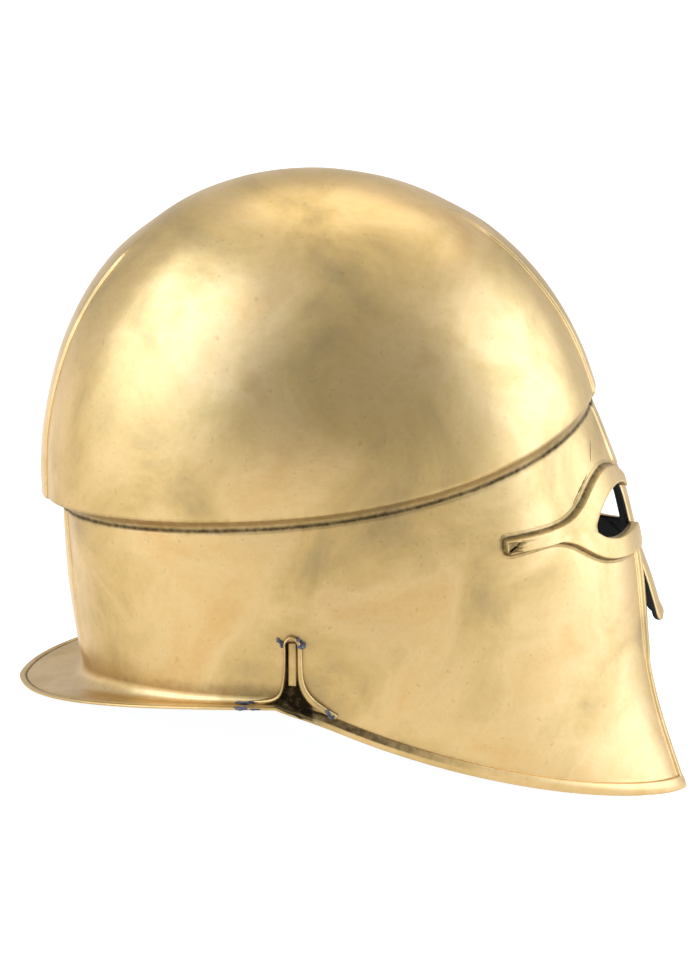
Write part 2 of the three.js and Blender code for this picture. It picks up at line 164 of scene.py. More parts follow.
def add_piece(name, grid, materials, wrap_rows=False, wrap_cols=False, paint=None, grime=None):
    """A mesh from a grid of points: a four-sided face between each two rows and columns.
    paint gives each row of faces its material, and grime is how much dirt and painted shade darken
    each point, 0 to 1.
    The piece is kept inside the part's own box, and its faces are turned outward."""
    rows, cols = grid.shape[:2]
    low, high = np.array(cad_low), np.array(cad_high)
    points = np.clip(to_rest(grid), low, high).reshape(-1, 3)
    index = np.arange(rows * cols).reshape(rows, cols)
    if wrap_rows:
        index = np.vstack([index, index[:1]])
    if wrap_cols:
        index = np.hstack([index, index[:, :1]])
    faces = np.stack([index[:-1, :-1], index[1:, :-1], index[1:, 1:], index[:-1, 1:]], -1)
    mesh = bpy.data.meshes.new(name)
    mesh.from_pydata(points.tolist(), [], faces.reshape(-1, 4).tolist())
    if paint is not None:
        chosen = np.repeat(paint, faces.shape[1]).astype(np.int32)
        mesh.polygons.foreach_set("material_index", chosen)
    layer = mesh.attributes.new("grime", "FLOAT", "POINT")
    dirt_and_shade = np.zeros((rows, cols)) if grime is None else np.broadcast_to(grime, (rows, cols))
    layer.data.foreach_set("value", dirt_and_shade.ravel().astype(np.float32))
    shape = bmesh.new()
    shape.from_mesh(mesh)
    bmesh.ops.remove_doubles(shape, verts=shape.verts, dist=2e-6)
    if shape.calc_volume(signed=True) < 0:
        bmesh.ops.reverse_faces(shape, faces=shape.faces)
    shape.to_mesh(mesh)
    shape.free()
    mesh.shade_smooth()
    for material in materials:
        mesh.materials.append(material)
    piece = bpy.data.objects.new(name, mesh)
    bpy.context.scene.collection.objects.link(piece)
    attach(piece, "root")
    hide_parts("helmet_shell")
    return piece


def colour(hex_value):
    """An sRGB hex colour as linear red, green, blue and alpha."""
    s = np.array([int(hex_value[i:i + 2], 16) for i in (1, 3, 5)]) / 255.0
    linear = np.where(s <= 0.04045, s / 12.92, ((s + 0.055) / 1.055) ** 2.4)
    return (*linear.tolist(), 1.0)


def add_node(tree, kind, settings=(), values=(), links=()):
    """Adds a node: settings are its own properties, values fill its inputs, and each link
    joins an input to another node's output."""
    new = tree.nodes.new(kind)
    for key, value in dict(settings).items():
        setattr(new, key, value)
    for key, value in dict(values).items():
        new.inputs[key].default_value = value
    for key, (source, output) in dict(links).items():
        tree.links.new(source.outputs[output], new.inputs[key])
    return new


def per_metre(millimetres):
    """The scale that gives a texture features of this size."""
    return 1000.0 / millimetres


def new_material(name):
    """A material with an empty node tree."""
    made = bpy.data.materials.new(name)
    made.use_nodes = True
    made.node_tree.nodes.clear()
    return made


def ramp(tree, source, stops):
    """A colour ramp over another node's first output; stops are (place, hex colour)."""
    made = add_node(tree, "ShaderNodeValToRGB", links={"Fac": (source, 0)})
    while len(made.color_ramp.elements) < len(stops):
        made.color_ramp.elements.new(0.5)
    for element, (place, tint) in zip(made.color_ramp.elements, stops):
        element.position = place
        element.color = colour(tint)
    return made


# Brass, hammered, ground with emery and satin polished, then handled for years: a metal whose
# gloss changes from cloud to cloud and olive where it has tarnished, and dark brown in its corners
# from painted shade with some dirt.
brass = new_material("hammered_brass")
tree = brass.node_tree
place = add_node(tree, "ShaderNodeTexCoord")
clouds = add_node(tree, "ShaderNodeTexNoise", values={
    "Scale": per_metre(55), "Detail": 5.0, "Roughness": 0.55, "Distortion": 0.6,
}, links={"Vector": (place, "Object")})
specks = add_node(tree, "ShaderNodeTexNoise", values={
    "Scale": per_metre(3.5), "Detail": 4.0, "Roughness": 0.6,
}, links={"Vector": (place, "Object")})
tint = ramp(tree, clouds, [(0.28, "#a88f60"), (0.43, "#c2a46a"), (0.56, "#d0b179"),
                           (0.75, "#c8a266")])
fleck = ramp(tree, specks, [(0.26, "#d0c6b4"), (0.40, "#ffffff"), (0.75, "#f2e8d6")])
flecked = add_node(tree, "ShaderNodeMix", {"data_type": "RGBA", "blend_type": "MULTIPLY"},
                   {0: 0.45}, {6: (tint, 0), 7: (fleck, 0)})
# Where the grime attribute is high the brass turns dark brown and duller: painted shade in
# corners, creases and under the ledge, with some dirt.
dirt_and_shade = add_node(tree, "ShaderNodeAttribute", {"attribute_name": "grime"})
ragged = add_node(tree, "ShaderNodeMath", {"operation": "MULTIPLY_ADD"}, {1: 0.9, 2: -0.45},
                  {0: (specks, 0)})
darkening = add_node(tree, "ShaderNodeMath", {"operation": "ADD", "use_clamp": True},
                 links={0: (dirt_and_shade, "Fac"), 1: (ragged, 0)})
darkened_where = add_node(tree, "ShaderNodeMath", {"operation": "MULTIPLY", "use_clamp": True},
                       links={0: (darkening, 0), 1: (dirt_and_shade, "Fac")})
base = add_node(tree, "ShaderNodeMix", {"data_type": "RGBA"}, {7: colour("#2e2415")},
                {0: (darkened_where, 0), 6: (flecked, 2)})
gloss = add_node(tree, "ShaderNodeMapRange", values={
    "From Min": 0.3, "From Max": 0.7, "To Min": 0.44, "To Max": 0.34,
}, links={"Value": (clouds, 0)})
dull = add_node(tree, "ShaderNodeMath", {"operation": "MULTIPLY_ADD", "use_clamp": True},
                {1: 0.35}, {0: (darkened_where, 0), 2: (gloss, 0)})
stretch = add_node(tree, "ShaderNodeMapping", values={"Scale": (0.08, 0.5, 1.0)},
                   links={"Vector": (place, "Object")})
brushing = add_node(tree, "ShaderNodeTexNoise", values={
    "Scale": per_metre(0.9), "Detail": 3.0, "Roughness": 0.6,
}, links={"Vector": (stretch, 0)})
dents = add_node(tree, "ShaderNodeTexNoise", values={
    "Scale": per_metre(9), "Detail": 1.0, "Roughness": 0.4,
}, links={"Vector": (place, "Object")})
dent_bump = add_node(tree, "ShaderNodeBump", values={"Strength": 0.18, "Distance": 0.0006},
                     links={"Height": (dents, 0)})
bump = add_node(tree, "ShaderNodeBump", values={"Strength": 0.45, "Distance": 0.00005},
                links={"Height": (brushing, 0), "Normal": (dent_bump, 0)})
metal = add_node(tree, "ShaderNodeBsdfPrincipled", values={"Metallic": 1.0},
                 links={"Base Color": (base, 2), "Roughness": (dull, 0), "Normal": (bump, 0)})
add_node(tree, "ShaderNodeOutputMaterial", links={"Surface": (metal, 0)})

# Matt black paint, brushed on inside: nearly no gloss, with faint brown dust.
black = new_material("black_lacquer")
tree = black.node_tree
place = add_node(tree, "ShaderNodeTexCoord")
dust = add_node(tree, "ShaderNodeTexNoise", values={"Scale": per_metre(18), "Detail": 4.0},
                links={"Vector": (place, "Object")})
soot = ramp(tree, dust, [(0.35, "#0a0908"), (0.75, "#17130f")])
paint_film = add_node(tree, "ShaderNodeBsdfPrincipled", values={"Roughness": 0.75},
                      links={"Base Color": (soot, 0)})
add_node(tree, "ShaderNodeOutputMaterial", links={"Surface": (paint_film, 0)})

# The columns crowd at the band's edges, which run at a steady distance from the middle once the
# skull is wide enough for them.
down_skull = np.concatenate([np.linspace(0, 0.9, SKULL_ROWS - EDGE_ROWS, endpoint=False),
                             np.linspace(0.9, 1.0, EDGE_ROWS)])
half_row = SKULL_HALF_WIDTH * np.sin(down_skull * np.pi / 2)
edge_y = np.minimum(BAND_HALF_WIDTH, 0.28 * half_row)
front_edge = np.full(SKULL_ROWS, 0.2)
back_edge = np.full(SKULL_ROWS, 0.2)
for _ in range(12):
    for turned, start in ((front_edge, 0.0), (back_edge, np.pi)):
        reach = np.abs(skull_at(np.abs(start - turned), down_skull)[:, 1])
        turned *= np.clip(edge_y / np.maximum(reach, 1e-6), 0.5, 2.0)
side = BAND_EDGE * 1.5 / np.maximum(half_row, 8.0)
zero = np.zeros(SKULL_ROWS)
half_angles = spaced([zero, front_edge - side, front_edge + side, np.pi - back_edge - side,
                      np.pi - back_edge + side, zero + np.pi], [14, 7, 118, 7, 14])
angles = np.hstack([half_angles, 2 * np.pi - half_angles[:, -2:0:-1]])
bare = skull_at(angles, down_skull[:, None])
proud = BAND_HEIGHT * smoothstep(down_skull, 0.36, 0.5)[:, None] * (
    1 - smoothstep(np.abs(bare[..., 1]), BAND_HALF_WIDTH - BAND_EDGE, BAND_HALF_WIDTH + BAND_EDGE))
skull_out = normals(bare, wrap=True)
skull_out[0] = (0, 0, 1)
dome = hammered(bare, skull_out) + skull_out * proud[..., None]

# ---- face and neck -------------------------------------------------------------------------
# The wall of the face and neck is one sheet: it runs from the ledge down to the cheek pieces'
# thick rims in front and sweeps out behind the notches to a flat neck guard, whose rim is
# marked with one scribed line. It is open for the eyes, nose and mouth.
WALL = {  # level sections: where the wall crosses the middle plane, and its half width
    "z": [-165, -135, -112, -90, -65, -40, -20, 0, 18, 38, 55],
    "front": [185.5, 174.5, 166.5, 161.5, 158.5, 155.3, 151.6, 146.4, 139.5, 131, 122.5],
    "back": [-111, -117, -121, -124.5, -128.3, -130.8, -132, -132.6, -133, -133, -133],
    "half_width": [87, 92, 95, 96.5, 97, 96.5, 96, 95.3, 94.5, 93.5, 92],
}
NECK_GUARD = {  # reach beyond the wall, height of its underside, and the fillet at its foot
    "angle": [90, 105, 120, 135, 150, 165, 180],
    "reach": [10, 10, 13, 19, 26, 31, 33.5],
    "z": [-90, -90.5, -92, -94.2, -96.6, -98.6, -99.3],
    "fillet": [3, 3.2, 4.5, 6.5, 8, 9, 9],
}
NAPE_BAND = {  # half width of the raised band down the nape
    "z": [-95, -70, -40, 0, 10],
    "half_width": [30, 27, 23, 20, 20],
}
BROW_BAND_HALF_WIDTH = 19.3
WALL_BAND_HEIGHT = 0.9
WALL_BAND_EDGE = 0.4                      # half the width over which this band steps up
LIP_FOLD = 3.0                            # how far the skull's ledge laps down the wall
FOLD_GAP = 0.12
TUCK_UP, TUCK_IN = 3.0, 0.55              # of the wall's top end, behind the ledge
LEDGE_RADII = (1.1, 2.2)                  # over the ledge's lip and in its inner corner
CHIN_SLIMMING, NAPE_SLIMMING = 0.16, 0.24
CHEEK_EDGE = (-104.3, -0.455, 0.00088)    # height of the cheeks' lower edge, by powers of X
GUARD_BEGINS, GUARD_FULL = 87.0, 99.0     # the cheek's rim turns into the guard between these
GUARD_THICKNESS = 1.4
SCRIBED_LINE = 3.4                        # from the guard's edge
SCRIBED_HALF_WIDTH, SCRIBED_DEPTH = 0.9, 0.5
SLOT_HALF_WIDTH = 15.0                    # between the cheek pieces
CHEEK_BORDER_WIDTH = 3.4
CHEEK_BORDER_HEIGHT = 1.5
CHEEK_RIM_WIDTH = 6.4
OPENING_EDGE = {  # where the wall ends in front: full across the brow, then round the eye
    "z": [-32, -30, -28, -25, -22, -18, -14, -10, -5, 0, 4, 6, 8, 10, 12, 13],
    "angle": [9.2, 13, 19, 26.5, 31, 33.5, 34, 33.5, 31.5, 27.5, 22.5, 18, 12, 6, 1.5, 0],
}


def curve(table, key, value):
    """A natural cubic spline through one column of a table, as a function of its key column."""
    order = np.argsort(table[key])
    x, y = np.array(table[key], float)[order], np.array(table[value], float)[order]
    gap, rise = np.diff(x), np.diff(y) / np.diff(x)
    system = np.eye(len(x))
    pull = np.zeros(len(x))
    inner = np.arange(1, len(x) - 1)
    system[inner, inner - 1], system[inner, inner + 1] = gap[:-1], gap[1:]
    system[inner, inner] = 2 * (gap[:-1] + gap[1:])
    pull[inner] = 6 * np.diff(rise)
    bend = np.linalg.solve(system, pull)

    def at(value_of_key):
        k = np.clip(np.searchsorted(x, value_of_key) - 1, 0, len(x) - 2)
        t = value_of_key - x[k]
        slope = rise[k] - gap[k] * (2 * bend[k] + bend[k + 1]) / 6
        return y[k] + t * (slope + t * (bend[k] / 2 + t * (bend[k + 1] - bend[k]) / (6 * gap[k])))
    return at


wall_front = curve(WALL, "z", "front")
wall_back = curve(WALL, "z", "back")
wall_half_width = curve(WALL, "z", "half_width")
guard_reach = curve(NECK_GUARD, "angle", "reach")
guard_z = curve(NECK_GUARD, "angle", "z")
guard_fillet = curve(NECK_GUARD, "angle", "fillet")


def fullness(forward, z):
    """How much fuller than an ellipse the wall's plan is: as the skull at the temples, and less
    lower down towards the chin (forward 1) and the nape (forward -1)."""
    chin = (1 + forward) / 2 * np.clip((40 - z) / 120, 0, 1)
    nape = (1 - forward) / 2 * np.clip((-20 - z) / 75, 0, 1)
    return TEMPLE_FULLNESS - CHIN_SLIMMING * chin - NAPE_SLIMMING * nape


def wall_at(angle, z):
    """A point of the wall: an egg-shaped plan whose length, width and fullness follow the
    height."""
    c = np.cos(angle)
    x = plan_x(c, wall_front(z), wall_back(z))
    y = wall_half_width(z) * np.sin(angle) * (1 + fullness(c, z) * c ** 2)
    return np.stack(np.broadcast_arrays(x, y, z), -1)


def wall_out(angle, z):
    """The level direction square to the wall: its tangent along the plan, turned by 90."""
    along = wall_at(angle + 0.01, z) - wall_at(angle - 0.01, z)
    out = np.stack([along[..., 1], -along[..., 0], np.zeros(along.shape[:-1])], -1)
    return out / np.linalg.norm(out, axis=-1, keepdims=True)


def wall_band(angle, z):
    """Height of the raised band that runs down the brow and the nape from the skull's: flat,
    with a quick step down at its edges, and faded out above the neck guard's fillet."""
    y = np.abs(wall_at(angle, z)[..., 1])
    half_width = np.where(np.cos(angle) > 0, BROW_BAND_HALF_WIDTH,
                          np.interp(z, NAPE_BAND["z"], NAPE_BAND["half_width"]))
    fade = smoothstep(z, -93, -80)
    step = 1 - smoothstep(y, half_width - WALL_BAND_EDGE, half_width + WALL_BAND_EDGE)
    return WALL_BAND_HEIGHT * fade * step


def on_wall(angle, z, over):
    """A point of the hammered wall raised by a height."""
    at, out = wall_at(angle, z), wall_out(angle, z)
    return hammered(at, out) + out * np.asarray(over)[..., None]


def lower_edge_z(angle):
    """Lower edge: a shallow parabola in X along the cheek pieces, and the guard's underside
    behind them. X and the height depend on each other, so they are worked out in turn."""
    guard = guard_z(np.maximum(np.degrees(angle), 90))
    z = guard
    for _ in range(6):
        x = wall_at(angle, z)[..., 0]
        z = np.minimum(guard, np.polynomial.polynomial.polyval(x, CHEEK_EDGE))
    return z


# The skull's ledge laps onto the wall, so its rows end there: over the plain edge, in under it
# with a small fillet, and down the wall by the fold. The inside follows with fewer rows.
skull_edge = dome[-1]
around = np.minimum(angles[-1], 2 * np.pi - angles[-1])
wall_top = skull_edge_z(angles[-1]) - LEDGE_DROP
level = wall_out(angles[-1], wall_top)
fold_over = FOLD_GAP + wall_band(around, wall_top)
fold = on_wall(angles[-1], wall_top, fold_over)
skirt = on_wall(angles[-1], wall_top - LIP_FOLD, fold_over)
lip = skull_edge - np.array([0, 0, LEDGE_LIP])
# Painted shade on the ledge's lip, deepest in its inner corner against the wall and fading down
# the skirt: these rows are darkened through the grime attribute.
LIP_SHADE = np.linspace(0.25, 0.6, 7)
CORNER_SHADE = [0.5, 0.5, 0.55, 0.6, 0.7, 0.85, 0.92, 0.85]
ledge = np.concatenate([
    rounded(skull_edge, lip, fold, LEDGE_RADII[0], len(LIP_SHADE)),
    rounded(lip, fold, skirt, LEDGE_RADII[1], len(CORNER_SHADE)),
    np.stack([skirt + (fold - skirt) * 0.02, skirt])])
outside = np.concatenate([dome, ledge])
outward = normals(outside, wrap=True)
outward[0] = (0, 0, 1)
inside = (outside - outward * SHEET)[np.r_[0:SKULL_ROWS - 2:3, SKULL_ROWS - 2]]
under = [fold - level * SHEET + (0, 0, SHEET), skirt - level * SHEET]
inside = np.concatenate([inside, np.stack(under)])
ledge_fold_shade = np.concatenate([np.zeros(SKULL_ROWS), LIP_SHADE, CORNER_SHADE, [0.5, 0.3],
                            np.zeros(len(inside))])[:, None]
skull_grid = np.concatenate([outside, inside[::-1]])
add_piece("skull", skull_grid, [brass, black], wrap_cols=True, grime=ledge_fold_shade,
          paint=np.arange(len(skull_grid) - 1) >= len(outside))

# Columns of one side, from the opening's edge to the nape: crowded along the cheek's border,
# the band's edges and the notch. Those ahead of 60 degrees are squeezed together where the eye
# takes their room, and those behind the notch follow the nape band's edge.
FACE_COLUMNS_END, NOTCH_COLUMNS_END, NAPE_COLUMN = 60.0, 101.0, 168.0
COLUMNS = {"to": [0, 3.2, 9, 13, FACE_COLUMNS_END, 88, 92, 99, NOTCH_COLUMNS_END,
                  NAPE_COLUMN - 0.5, NAPE_COLUMN + 0.5, 180],
           "count": [16, 7, 11, 37, 18, 4, 28, 2, 38, 9, 6]}
ROWS = {"to": [0, 0.13, 0.26, 1], "count": [14, 50, 75]}    # crowded where the eye opens
columns = spaced(np.array(COLUMNS["to"]), COLUMNS["count"])
down = spaced(np.array(ROWS["to"]), ROWS["count"])[:, None]


def opening_angle(z):
    """Angle of the wall's front end at a height, in degrees: read from the table round the
    eye, and below it where the cheek piece meets the slot between the two."""
    slot = np.degrees(np.arcsin(SLOT_HALF_WIDTH / (wall_half_width(z) * (1 + fullness(1, z)))))
    table = np.maximum(curve(OPENING_EDGE, "z", "angle")(z), 0) * (z < OPENING_EDGE["z"][-1])
    return np.where(z < OPENING_EDGE["z"][0], slot, np.maximum(table, slot * (z < -24)))


def guard_share(angle):
    """1 on the neck guard, 0 on the cheek piece, smooth between."""
    return smoothstep(np.degrees(angle), GUARD_BEGINS, GUARD_FULL)


FILLET_ROWS, FLAT_ROWS, TURN_ROWS = 15, 14, 10
FLAT_PARTS = [5, 6, 3]     # the flat's rows before, across and beyond the scribed line
bend = np.linspace(0, 1, FILLET_ROWS)[:, None]
flat = np.linspace(0, 1, FLAT_ROWS + 1)[1:, None]
turn = np.linspace(0, np.pi, TURN_ROWS + 1)[1:, None]


def rim_at(angle, border):
    """Both rims, row by row, as (out, up) from the wall's lower edge. The guard is a quarter
    round, a flat with a scribed line, and a half round edge. The cheek's rim is a step out, a
    crowned face and a round edge as thick as sheet and border. guard_share mixes the two."""
    reach = guard_reach(np.maximum(np.degrees(angle), 90))
    fillet = guard_fillet(np.maximum(np.degrees(angle), 90))
    half = GUARD_THICKNESS / 2
    wide = np.ravel(reach - half - fillet)
    line, margin = 1 - (SCRIBED_LINE - half) / wide, SCRIBED_HALF_WIDTH / wide
    across = spaced([0 * line, line - margin, line + margin, 1 + 0 * line], FLAT_PARTS)[:, 1:].T
    out = np.concatenate([fillet * (1 - np.cos(bend * np.pi / 2)),
                          fillet + (reach - half - fillet) * across,
                          reach - half + half * np.sin(turn)])
    up = np.concatenate([fillet * (1 - np.sin(bend * np.pi / 2)) + GUARD_THICKNESS,
                         np.full_like(flat * reach, GUARD_THICKNESS),
                         half * (1 + np.cos(turn)) + 0 * reach])
    from_line = np.abs(out - (reach - SCRIBED_LINE))
    on_top = (np.arange(len(up)) < FILLET_ROWS + FLAT_ROWS)[:, None]
    up = up - SCRIBED_DEPTH * (1 - smoothstep(from_line, 0.3, SCRIBED_HALF_WIDTH)) * on_top
    crown = 0.3 * np.sin(np.pi * flat)
    round_edge = (border + SHEET) / 2
    cheek_out = np.concatenate([border * smoothstep(bend, 0.05, 0.7), border + crown,
                                border - round_edge + round_edge * np.cos(turn)])
    cheek_up = np.concatenate([CHEEK_RIM_WIDTH + 0.9 * (1 - bend),
                               CHEEK_RIM_WIDTH - (CHEEK_RIM_WIDTH - 1.3) * flat,
                               1.3 - 1.3 * np.sin(turn)])
    mix = guard_share(angle)
    return cheek_out + (out - cheek_out) * mix, cheek_up + (up - cheek_up) * mix


def side_angles(z):
    """The columns' angles at their heights: those of the face squeezed evenly behind the
    opening's edge, those by the notch as they are, and those of the nape spread evenly to either
    side of the band's edge."""
    start = opening_angle(z)
    ahead = start + (1 - start / FACE_COLUMNS_END) * columns
    half_width = np.interp(z, NAPE_BAND["z"], NAPE_BAND["half_width"])
    band = 180 - np.degrees(np.arcsin(half_width / (wall_half_width(z) * 1.1)))
    notch = NOTCH_COLUMNS_END
    before = notch + (columns - notch) / (NAPE_COLUMN - notch) * (band - notch)
    beyond = band + (columns - NAPE_COLUMN) / (180 - NAPE_COLUMN) * (180 - band)
    behind = np.where(columns < NAPE_COLUMN, before, beyond)
    return np.radians(np.where(columns < FACE_COLUMNS_END, ahead,
                               np.where(columns < notch, columns, behind)))


def rows_to_angles(height_of):
    """Angle and height depend on each other, so they are worked out in turn."""
    angle = np.radians(columns) + 0 * down
    for _ in range(12):
        z = height_of(angle)
        angle = side_angles(z)
    return angle, height_of(angle)


def panel_height(angle):
    """Heights of the wall's rows, spread from under the ledge to where the rims begin."""
    top = skull_edge_z(angle) - LEDGE_DROP + TUCK_UP
    return top + (lower_edge_z(angle) + rim_at(angle[-1], 0.0)[1][0] - top) * down


def border_rise(distance):
    """A border beside an edge: flat, then down to the wall with a small fillet."""
    return CHEEK_BORDER_HEIGHT * (1 - smoothstep(distance, CHEEK_BORDER_WIDTH - 1.0,
                                                 CHEEK_BORDER_WIDTH + 0.5))


panel_angle, panel_z = rows_to_angles(panel_height)
tucked = -TUCK_IN * (1 - smoothstep(skull_edge_z(panel_angle) - LEDGE_DROP - panel_z, 1.5, 3.2))
from_edge = np.linalg.norm(
    wall_at(panel_angle, panel_z) - wall_at(panel_angle[:, :1], panel_z), axis=-1)
border_here = smoothstep(-panel_z, 28, 33)
rim_angle = panel_angle[-1:]


def side_sheet(border):
    """One side's outer surface, from under the ledge to the end of its turned rim, with or
    without the raised borders."""
    relief = border * (border_here * border_rise(from_edge)) + wall_band(panel_angle, panel_z)
    panel = on_wall(panel_angle, panel_z, tucked + relief)
    out, up = rim_at(rim_angle, border * CHEEK_BORDER_HEIGHT)
    z = lower_edge_z(rim_angle) + up
    angle = rim_angle + 0 * z
    turned_in = np.arange(len(z))[:, None] >= FILLET_ROWS + FLAT_ROWS
    front = border * border_rise(from_edge[-1:]) * (1 - guard_share(angle)) * ~turned_in
    waves = 1 - smoothstep(np.arange(len(z), dtype=float), 0, 10)[:, None, None]
    at, level_out = wall_at(angle, z), wall_out(angle, z)
    rim = at + (hammered(at, level_out) - at) * waves
    rim = rim + level_out * np.maximum(out, front)[..., None]
    return np.concatenate([panel, rim[1:]])


side_outer, core = side_sheet(1.0), side_sheet(0.0)
side_inner = core - normals(core, wrap=False) * SHEET
side_inner[-TURN_ROWS:] = side_inner[-TURN_ROWS - 1]

# The front edge is rolled over in half a turn of short columns. The inside needs fewer rows.
ROLL_ANGLES = [90, 70, 45, 22]
INNER_RIM_ROWS = 14
through = (side_outer[:, :1] - side_inner[:, :1]) / 2
middle = (side_outer[:, :1] + side_inner[:, :1]) / 2
ahead = side_outer[:, :1] - side_outer[:, 1:2]
ahead *= (np.linalg.norm(through, axis=-1, keepdims=True)
          / np.linalg.norm(ahead, axis=-1, keepdims=True))
roll = np.radians(ROLL_ANGLES)[None, :, None]
side_outer = np.hstack([middle + through * np.cos(roll) + ahead * np.sin(roll), side_outer])
side_inner = np.hstack([middle - through * np.cos(roll) + ahead * np.sin(roll), side_inner])
panel_rows = len(core) - INNER_RIM_ROWS
side_inner = side_inner[np.r_[0:panel_rows:3, panel_rows:len(core)]]
side_grid = np.concatenate([side_outer, side_inner[::-1]])
whole = np.hstack([side_grid, (side_grid * (1, -1, 1))[:, -2::-1]])


def with_rim(panel, rim):
    """Values on the wall's rows, with those of the rim's rows below."""
    return np.vstack([np.broadcast_to(panel, panel_z.shape),
                      np.broadcast_to(rim, (len(core) - len(panel_z), len(columns)))])


# Painted shade darkens the wall under the ledge and the fillet above the guard, with a little on
# the guard's top; painted shade and a painted dark reflection darken the notch. The upper part of
# the cheek's rim near the notch and the scribed line are darkened as well.
NOTCH_MIDDLE = 95.6
rim_out, rim_up = (rows[1:] for rows in rim_at(rim_angle, CHEEK_BORDER_HEIGHT))
from_line = np.abs(rim_out - (guard_reach(np.maximum(np.degrees(rim_angle), 90)) - SCRIBED_LINE))
below_ledge = with_rim(skull_edge_z(panel_angle) - LEDGE_DROP - panel_z, 90.0)
above_guard = with_rim(panel_z - lower_edge_z(panel_angle), 0.0)
all_angles = np.degrees(with_rim(panel_angle, rim_angle))
depth = with_rim(-panel_z, 92.0)
above_edge = with_rim(20.0, rim_up)
on_guard = guard_share(np.radians(all_angles))
slot_half = 1.5 + 2.2 * smoothstep(depth, 80, 91)
under_ledge_shade = 0.6 * (1 - smoothstep(below_ledge, 2.0, 5.0))
guard_fillet_shade = 0.5 * on_guard * (1 - smoothstep(np.abs(above_guard - 6), 1, 9))
notch_shade = ((1 - smoothstep(np.abs(all_angles - NOTCH_MIDDLE), slot_half, slot_half + 0.6))
             * smoothstep(depth, 57, 60) * (1 - 0.25 * smoothstep(depth, 82, 92))
             * smoothstep(above_edge, 0.7, 1.6))
cheek_rim_darkening = (0.9 * smoothstep(all_angles, 50, 84) * (1 - on_guard)
              * smoothstep(above_edge, 2.4, 3.6) * (1 - smoothstep(above_edge, 6.6, 8.0)))
scribed_line_darkening = with_rim(0.0, 0.7 * guard_share(rim_angle) * (1 - smoothstep(from_line, 0.2, 0.9))
                     * (rim_up > 0.8))
half_darkening = np.minimum(under_ledge_shade + guard_fillet_shade + notch_shade + cheek_rim_darkening + scribed_line_darkening, 1.0)
half_darkening = np.hstack([np.zeros((len(core), len(ROLL_ANGLES))), half_darkening])
half_darkening = np.vstack([half_darkening, np.zeros(side_inner.shape[:2])])
add_piece("face_and_neck", whole, [brass, black], wrap_rows=True,
          paint=np.arange(len(whole)) >= len(side_outer) - 2,
          grime=np.hstack([half_darkening, half_darkening[:, -2::-1]]))

# ---- eye surrounds -------------------------------------------------------------------------
# Each eye has a raised surround with a tail towards the temple, cut from thick plate, bent to
# the wall and brazed on. Its faces are flat and its edges crisp. Painted shade darkens its inner
# edge, its outer side wall and its foot, and a painted shadow lies in a narrow band on the wall
# round it.
SURROUND = {  # matched points, from the nose over the top, round the tail and back underneath
    "outer_angle": [8.6, 10.2, 13.6, 19, 23.8, 28.9, 33, 36.2, 39.3, 43, 47, 51, 53.6, 54.3, 54.5,
                    54.4, 54.0, 53.0, 50.5, 47, 43, 38.7, 35.3, 31.9, 28.2, 23, 16.5, 10, 5, 2.4],
    "outer_z": [5.4, 7.6, 10.8, 12.6, 11.4, 6.3, -0.4, -5.5, -9, -11.2, -12.4, -13.3, -13.8, -14.3,
                -16.7, -19.3, -20.4, -20.6, -19.6, -18.4, -17.5, -19.4, -23.3, -27.3, -30.3,
                -31.8, -32, -32, -31.5, -29.0],
    "inner_angle": [9.6, 11.3, 13.9, 17.4, 21, 24.6, 27.4, 29, 29.9, 30.5, 30.75, 30.85, 30.9,
                    30.9, 30.9, 30.9, 30.9, 30.9, 30.85, 30.8, 30.7, 29.9, 28.8, 27.2, 24.8,
                    21.3, 16.5, 11.9, 7.5, 4.5],
    "inner_z": [-0.5, 1.8, 3.1, 3.4, 2.2, -0.8, -4.8, -7.9, -10.1, -11.6, -12.5, -13.2, -13.6,
                -13.8, -14.1, -14.4, -14.6, -14.9, -15.4, -15.9, -16.5, -17.6, -18.9, -20.2,
                -21.4, -22, -21.3, -20.4, -19.8, -21.5],
}
SURROUND["station"] = list(range(len(SURROUND["outer_z"])))
LEFT_EYE_LOWER = 4.4       # the left eye opening was filed this much deeper at the bottom
FACE_MM = 1.95             # along the face wall, to one degree of plan
SECTION = [  # share from inner to outer outline, millimetres on from there, height over wall
    (0, 0, -1.1), (0, 0, 1.0), (0, 0, 2.7), (0, 0.1, 3.0), (0, 0.4, 3.2),
    (0.12, 0.35, 3.22), (0.25, 0.25, 3.25), (0.4, 0.1, 3.27), (0.55, 0, 3.28), (0.7, -0.1, 3.26),
    (0.82, -0.2, 3.24), (0.86, -0.2, 3.23), (0.88, -0.2, 3.23), (0.9, -0.2, 3.23),
    (0.92, -0.25, 3.22), (0.935, -0.25, 3.22), (0.95, -0.3, 3.21), (0.965, -0.3, 3.2),
    (0.98, -0.3, 3.2), (1, -0.4, 3.2), (1, -0.12, 3.12), (1, 0.02, 2.9), (1, 0.3, 2.1),
    (1, 0.7, 1.1), (1, 1.1, 0.4), (1, 1.6, 0.14), (1, 2.9, 0.08), (1, 3.0, -0.6), (1, 1.2, -1.1),
    (0.66, 0, -1.1), (0.33, 0, -1.1),
]
TAIL_ROWS = slice(9, 20)   # of the section, where the pocket is cut
UNDERSIDE = 28             # the section's first row of faces against the wall
# Painted shade: the rows over the inner edge, the outer side wall and the foot are darkened, and
# the last rows carry a painted shadow onto the wall.
SECTION_SHADE = {"row": [0, 2, 4, 19, 21, 22, 24, 25, 26],
                "dirt_and_shade": [0.45, 0.2, 0, 0, 0.4, 0.65, 0.9, 0.6, 0.05]}


def plane_curve(table, which, stations):
    """One outline of a table as (along the wall, height) in millimetres at each station, with
    the unit direction square to it."""
    angle = curve(table, "station", which + "_angle")(stations)
    z = curve(table, "station", which + "_z")(stations)
    line = np.stack([angle * FACE_MM, z], -1)
    along = np.gradient(line, axis=0)
    along /= np.maximum(np.linalg.norm(along, axis=-1, keepdims=True), 1e-6)
    return line, np.stack([-along[:, 1], along[:, 0]], -1)


stations = np.linspace(0, len(SURROUND["station"]) - 1, 330)
share, beyond, over = np.array(SECTION).T[:, :, None]


